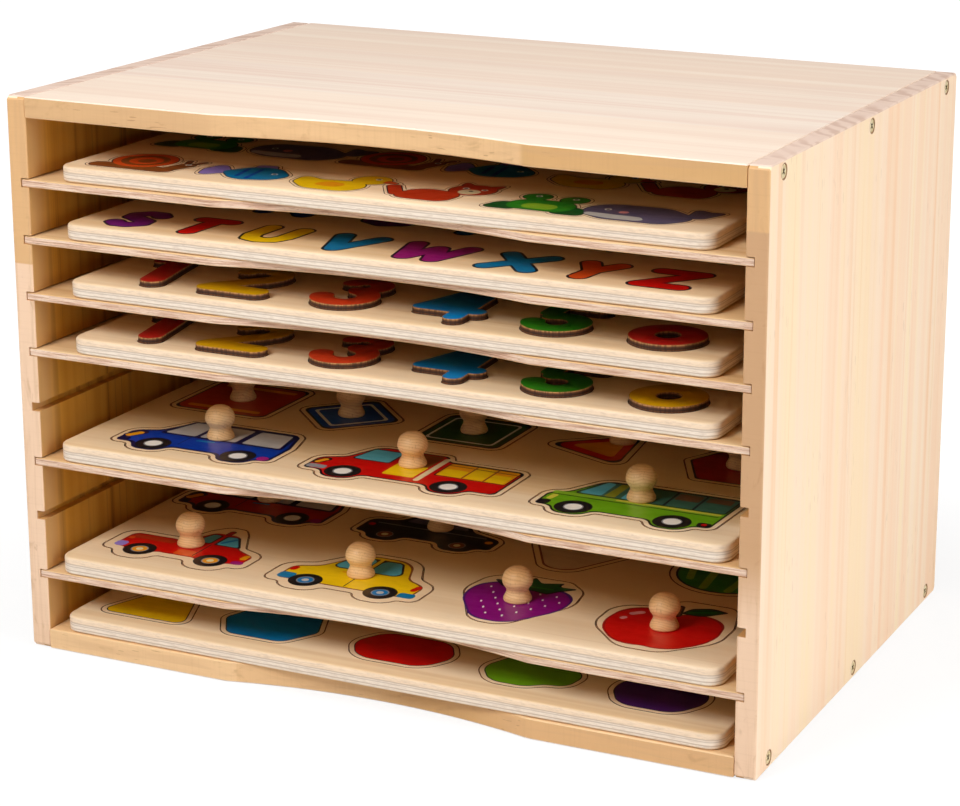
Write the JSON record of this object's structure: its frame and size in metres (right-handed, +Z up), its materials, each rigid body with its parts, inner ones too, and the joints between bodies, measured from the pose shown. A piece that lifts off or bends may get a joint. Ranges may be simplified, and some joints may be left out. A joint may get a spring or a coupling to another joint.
{
  "type": "puzzle storage rack",
  "caption": "Pine storage rack for tray puzzles, with grooved sides, sliding plywood shelves with finger cut-outs, and wooden puzzles with lift-out pieces on them.",
  "frame": {"origin": "middle of the rack's footprint, on the surface it stands on", "axes": "+X to the right along the rack's width, seen from its open front, +Y from the front to the back, +Z up"},
  "size_m": [0.33, 0.23, 0.238],
  "materials": {
    "pine": "clear satin varnish",
    "plywood": "clear satin varnish",
    "board": "clear satin varnish",
    "knob": "turned, clear varnish",
    "screw": "zinc with a yellow passivation",
    "red": "glossy print on wood",
    "dark_red": "glossy print on wood",
    "orange": "glossy print on wood",
    "yellow": "glossy print on wood",
    "blue": "glossy print on wood",
    "green": "glossy print on wood",
    "purple": "glossy print on wood",
    "black": "glossy print on wood"
  },
  "bodies": {
    "carcass": {"left_side": "pine", "right_side": "pine", "top_panel": "pine", "bottom_panel": "pine", "back_panel": "plywood", "screw_left_bottom_front": "screw", "screw_left_bottom_middle": "screw", "screw_left_bottom_rear": "screw", "screw_left_top_front": "screw", "screw_left_top_middle": "screw", "screw_left_top_rear": "screw", "screw_right_bottom_front": "screw", "screw_right_bottom_middle": "screw", "screw_right_bottom_rear": "screw", "screw_right_top_front": "screw", "screw_right_top_middle": "screw", "screw_right_top_rear": "screw"},
    "shelf_1": {"shelf_1": "plywood"},
    "shelf_2": {"shelf_2": "plywood"},
    "shelf_3": {"shelf_3": "plywood"},
    "shelf_4": {"shelf_4": "plywood"},
    "shelf_5": {"shelf_5": "plywood"},
    "shelf_6": {"shelf_6": "plywood"},
    "animal_board": {"animal_board": "board"},
    "letter_board": {"letter_board": "board"},
    "number_board_a": {"number_board_a": "board"},
    "number_a_1": {"number_a_1": "red"},
    "number_a_2": {"number_a_2": "yellow"},
    "number_a_3": {"number_a_3": "orange"},
    "number_a_4": {"number_a_4": "blue"},
    "number_a_5": {"number_a_5": "green"},
    "number_a_0": {"number_a_0": "dark_red"},
    "number_board_b": {"number_board_b": "board"},
    "number_b_1": {"number_b_1": "red"},
    "number_b_2": {"number_b_2": "yellow"},
    "number_b_3": {"number_b_3": "orange"},
    "number_b_4": {"number_b_4": "blue"},
    "number_b_5": {"number_b_5": "green"},
    "number_b_0": {"number_b_0": "yellow"},
    "vehicle_board": {"vehicle_board": "board"},
    "blue_bus": {"blue_bus": "blue", "blue_bus_knob": "knob"},
    "red_truck": {"red_truck": "red", "red_truck_knob": "knob"},
    "green_van": {"green_van": "green", "green_van_knob": "knob"},
    "red_sign": {"red_sign": "dark_red"},
    "blue_sign": {"blue_sign": "blue"},
    "green_sign": {"green_sign": "green"},
    "fruit_board": {"fruit_board": "board"},
    "red_pickup": {"red_pickup": "red", "red_pickup_knob": "knob"},
    "yellow_car": {"yellow_car": "yellow", "yellow_car_knob": "knob"},
    "purple_berry": {"purple_berry": "purple", "purple_berry_knob": "knob"},
    "red_apple": {"red_apple": "dark_red", "red_apple_knob": "knob"},
    "black_car": {"black_car": "black"},
    "shape_board": {"shape_board": "board"}
  },
  "joints": [
    {"name": "shelf_1_slide", "type": "slide", "parent": "carcass", "child": "shelf_1", "axis": [0, -1, 0], "range_m": [0, 0.222]},
    {"name": "shelf_2_slide", "type": "slide", "parent": "carcass", "child": "shelf_2", "axis": [0, -1, 0], "range_m": [0, 0.222]},
    {"name": "shelf_3_slide", "type": "slide", "parent": "carcass", "child": "shelf_3", "axis": [0, -1, 0], "range_m": [0, 0.222]},
    {"name": "shelf_4_slide", "type": "slide", "parent": "carcass", "child": "shelf_4", "axis": [0, -1, 0], "range_m": [0, 0.222]},
    {"name": "shelf_5_slide", "type": "slide", "parent": "carcass", "child": "shelf_5", "axis": [0, -1, 0], "range_m": [0, 0.222]},
    {"name": "shelf_6_slide", "type": "slide", "parent": "carcass", "child": "shelf_6", "axis": [0, -1, 0], "range_m": [0, 0.222]},
    {"name": "animal_board_slide", "type": "slide", "parent": "shelf_1", "child": "animal_board", "axis": [0, -1, 0], "range_m": [0, 0.2018]},
    {"name": "letter_board_slide", "type": "slide", "parent": "shelf_2", "child": "letter_board", "axis": [0, -1, 0], "range_m": [0, 0.2008]},
    {"name": "number_board_a_slide", "type": "slide", "parent": "shelf_3", "child": "number_board_a", "axis": [0, -1, 0], "range_m": [0, 0.2004]},
    {"name": "number_a_1_lift", "type": "slide", "parent": "number_board_a", "child": "number_a_1", "axis": [0, 0, 1], "range_m": [0, 0.01]},
    {"name": "number_a_2_lift", "type": "slide", "parent": "number_board_a", "child": "number_a_2", "axis": [0, 0, 1], "range_m": [0, 0.01]},
    {"name": "number_a_3_lift", "type": "slide", "parent": "number_board_a", "child": "number_a_3", "axis": [0, 0, 1], "range_m": [0, 0.01]},
    {"name": "number_a_4_lift", "type": "slide", "parent": "number_board_a", "child": "number_a_4", "axis": [0, 0, 1], "range_m": [0, 0.01]},
    {"name": "number_a_5_lift", "type": "slide", "parent": "number_board_a", "child": "number_a_5", "axis": [0, 0, 1], "range_m": [0, 0.01]},
    {"name": "number_a_0_lift", "type": "slide", "parent": "number_board_a", "child": "number_a_0", "axis": [0, 0, 1], "range_m": [0, 0.01]},
    {"name": "number_board_b_slide", "type": "slide", "parent": "shelf_4", "child": "number_board_b", "axis": [0, -1, 0], "range_m": [0, 0.2001]},
    {"name": "number_b_1_lift", "type": "slide", "parent": "number_board_b", "child": "number_b_1", "axis": [0, 0, 1], "range_m": [0, 0.01]},
    {"name": "number_b_2_lift", "type": "slide", "parent": "number_board_b", "child": "number_b_2", "axis": [0, 0, 1], "range_m": [0, 0.01]},
    {"name": "number_b_3_lift", "type": "slide", "parent": "number_board_b", "child": "number_b_3", "axis": [0, 0, 1], "range_m": [0, 0.01]},
    {"name": "number_b_4_lift", "type": "slide", "parent": "number_board_b", "child": "number_b_4", "axis": [0, 0, 1], "range_m": [0, 0.01]},
    {"name": "number_b_5_lift", "type": "slide", "parent": "number_board_b", "child": "number_b_5", "axis": [0, 0, 1], "range_m": [0, 0.01]},
    {"name": "number_b_0_lift", "type": "slide", "parent": "number_board_b", "child": "number_b_0", "axis": [0, 0, 1], "range_m": [0, 0.01]},
    {"name": "vehicle_board_slide", "type": "slide", "parent": "shelf_5", "child": "vehicle_board", "axis": [0, -1, 0], "range_m": [0, 0.2102]},
    {"name": "blue_bus_lift", "type": "slide", "parent": "vehicle_board", "child": "blue_bus", "axis": [0, 0, 1], "range_m": [0, 0.02]},
    {"name": "red_truck_lift", "type": "slide", "parent": "vehicle_board", "child": "red_truck", "axis": [0, 0, 1], "range_m": [0, 0.02]},
    {"name": "green_van_lift", "type": "slide", "parent": "vehicle_board", "child": "green_van", "axis": [0, 0, 1], "range_m": [0, 0.02]},
    {"name": "red_sign_lift", "type": "slide", "parent": "vehicle_board", "child": "red_sign", "axis": [0, 0, 1], "range_m": [0, 0.02]},
    {"name": "blue_sign_lift", "type": "slide", "parent": "vehicle_board", "child": "blue_sign", "axis": [0, 0, 1], "range_m": [0, 0.02]},
    {"name": "green_sign_lift", "type": "slide", "parent": "vehicle_board", "child": "green_sign", "axis": [0, 0, 1], "range_m": [0, 0.02]},
    {"name": "fruit_board_slide", "type": "slide", "parent": "shelf_6", "child": "fruit_board", "axis": [0, -1, 0], "range_m": [0, 0.21]},
    {"name": "red_pickup_lift", "type": "slide", "parent": "fruit_board", "child": "red_pickup", "axis": [0, 0, 1], "range_m": [0, 0.02]},
    {"name": "yellow_car_lift", "type": "slide", "parent": "fruit_board", "child": "yellow_car", "axis": [0, 0, 1], "range_m": [0, 0.02]},
    {"name": "purple_berry_lift", "type": "slide", "parent": "fruit_board", "child": "purple_berry", "axis": [0, 0, 1], "range_m": [0, 0.02]},
    {"name": "red_apple_lift", "type": "slide", "parent": "fruit_board", "child": "red_apple", "axis": [0, 0, 1], "range_m": [0, 0.02]},
    {"name": "black_car_lift", "type": "slide", "parent": "fruit_board", "child": "black_car", "axis": [0, 0, 1], "range_m": [0, 0.02]},
    {"name": "shape_board_slide", "type": "slide", "parent": "carcass", "child": "shape_board", "axis": [0, -1, 0], "range_m": [0, 0.2104]}
  ]
}
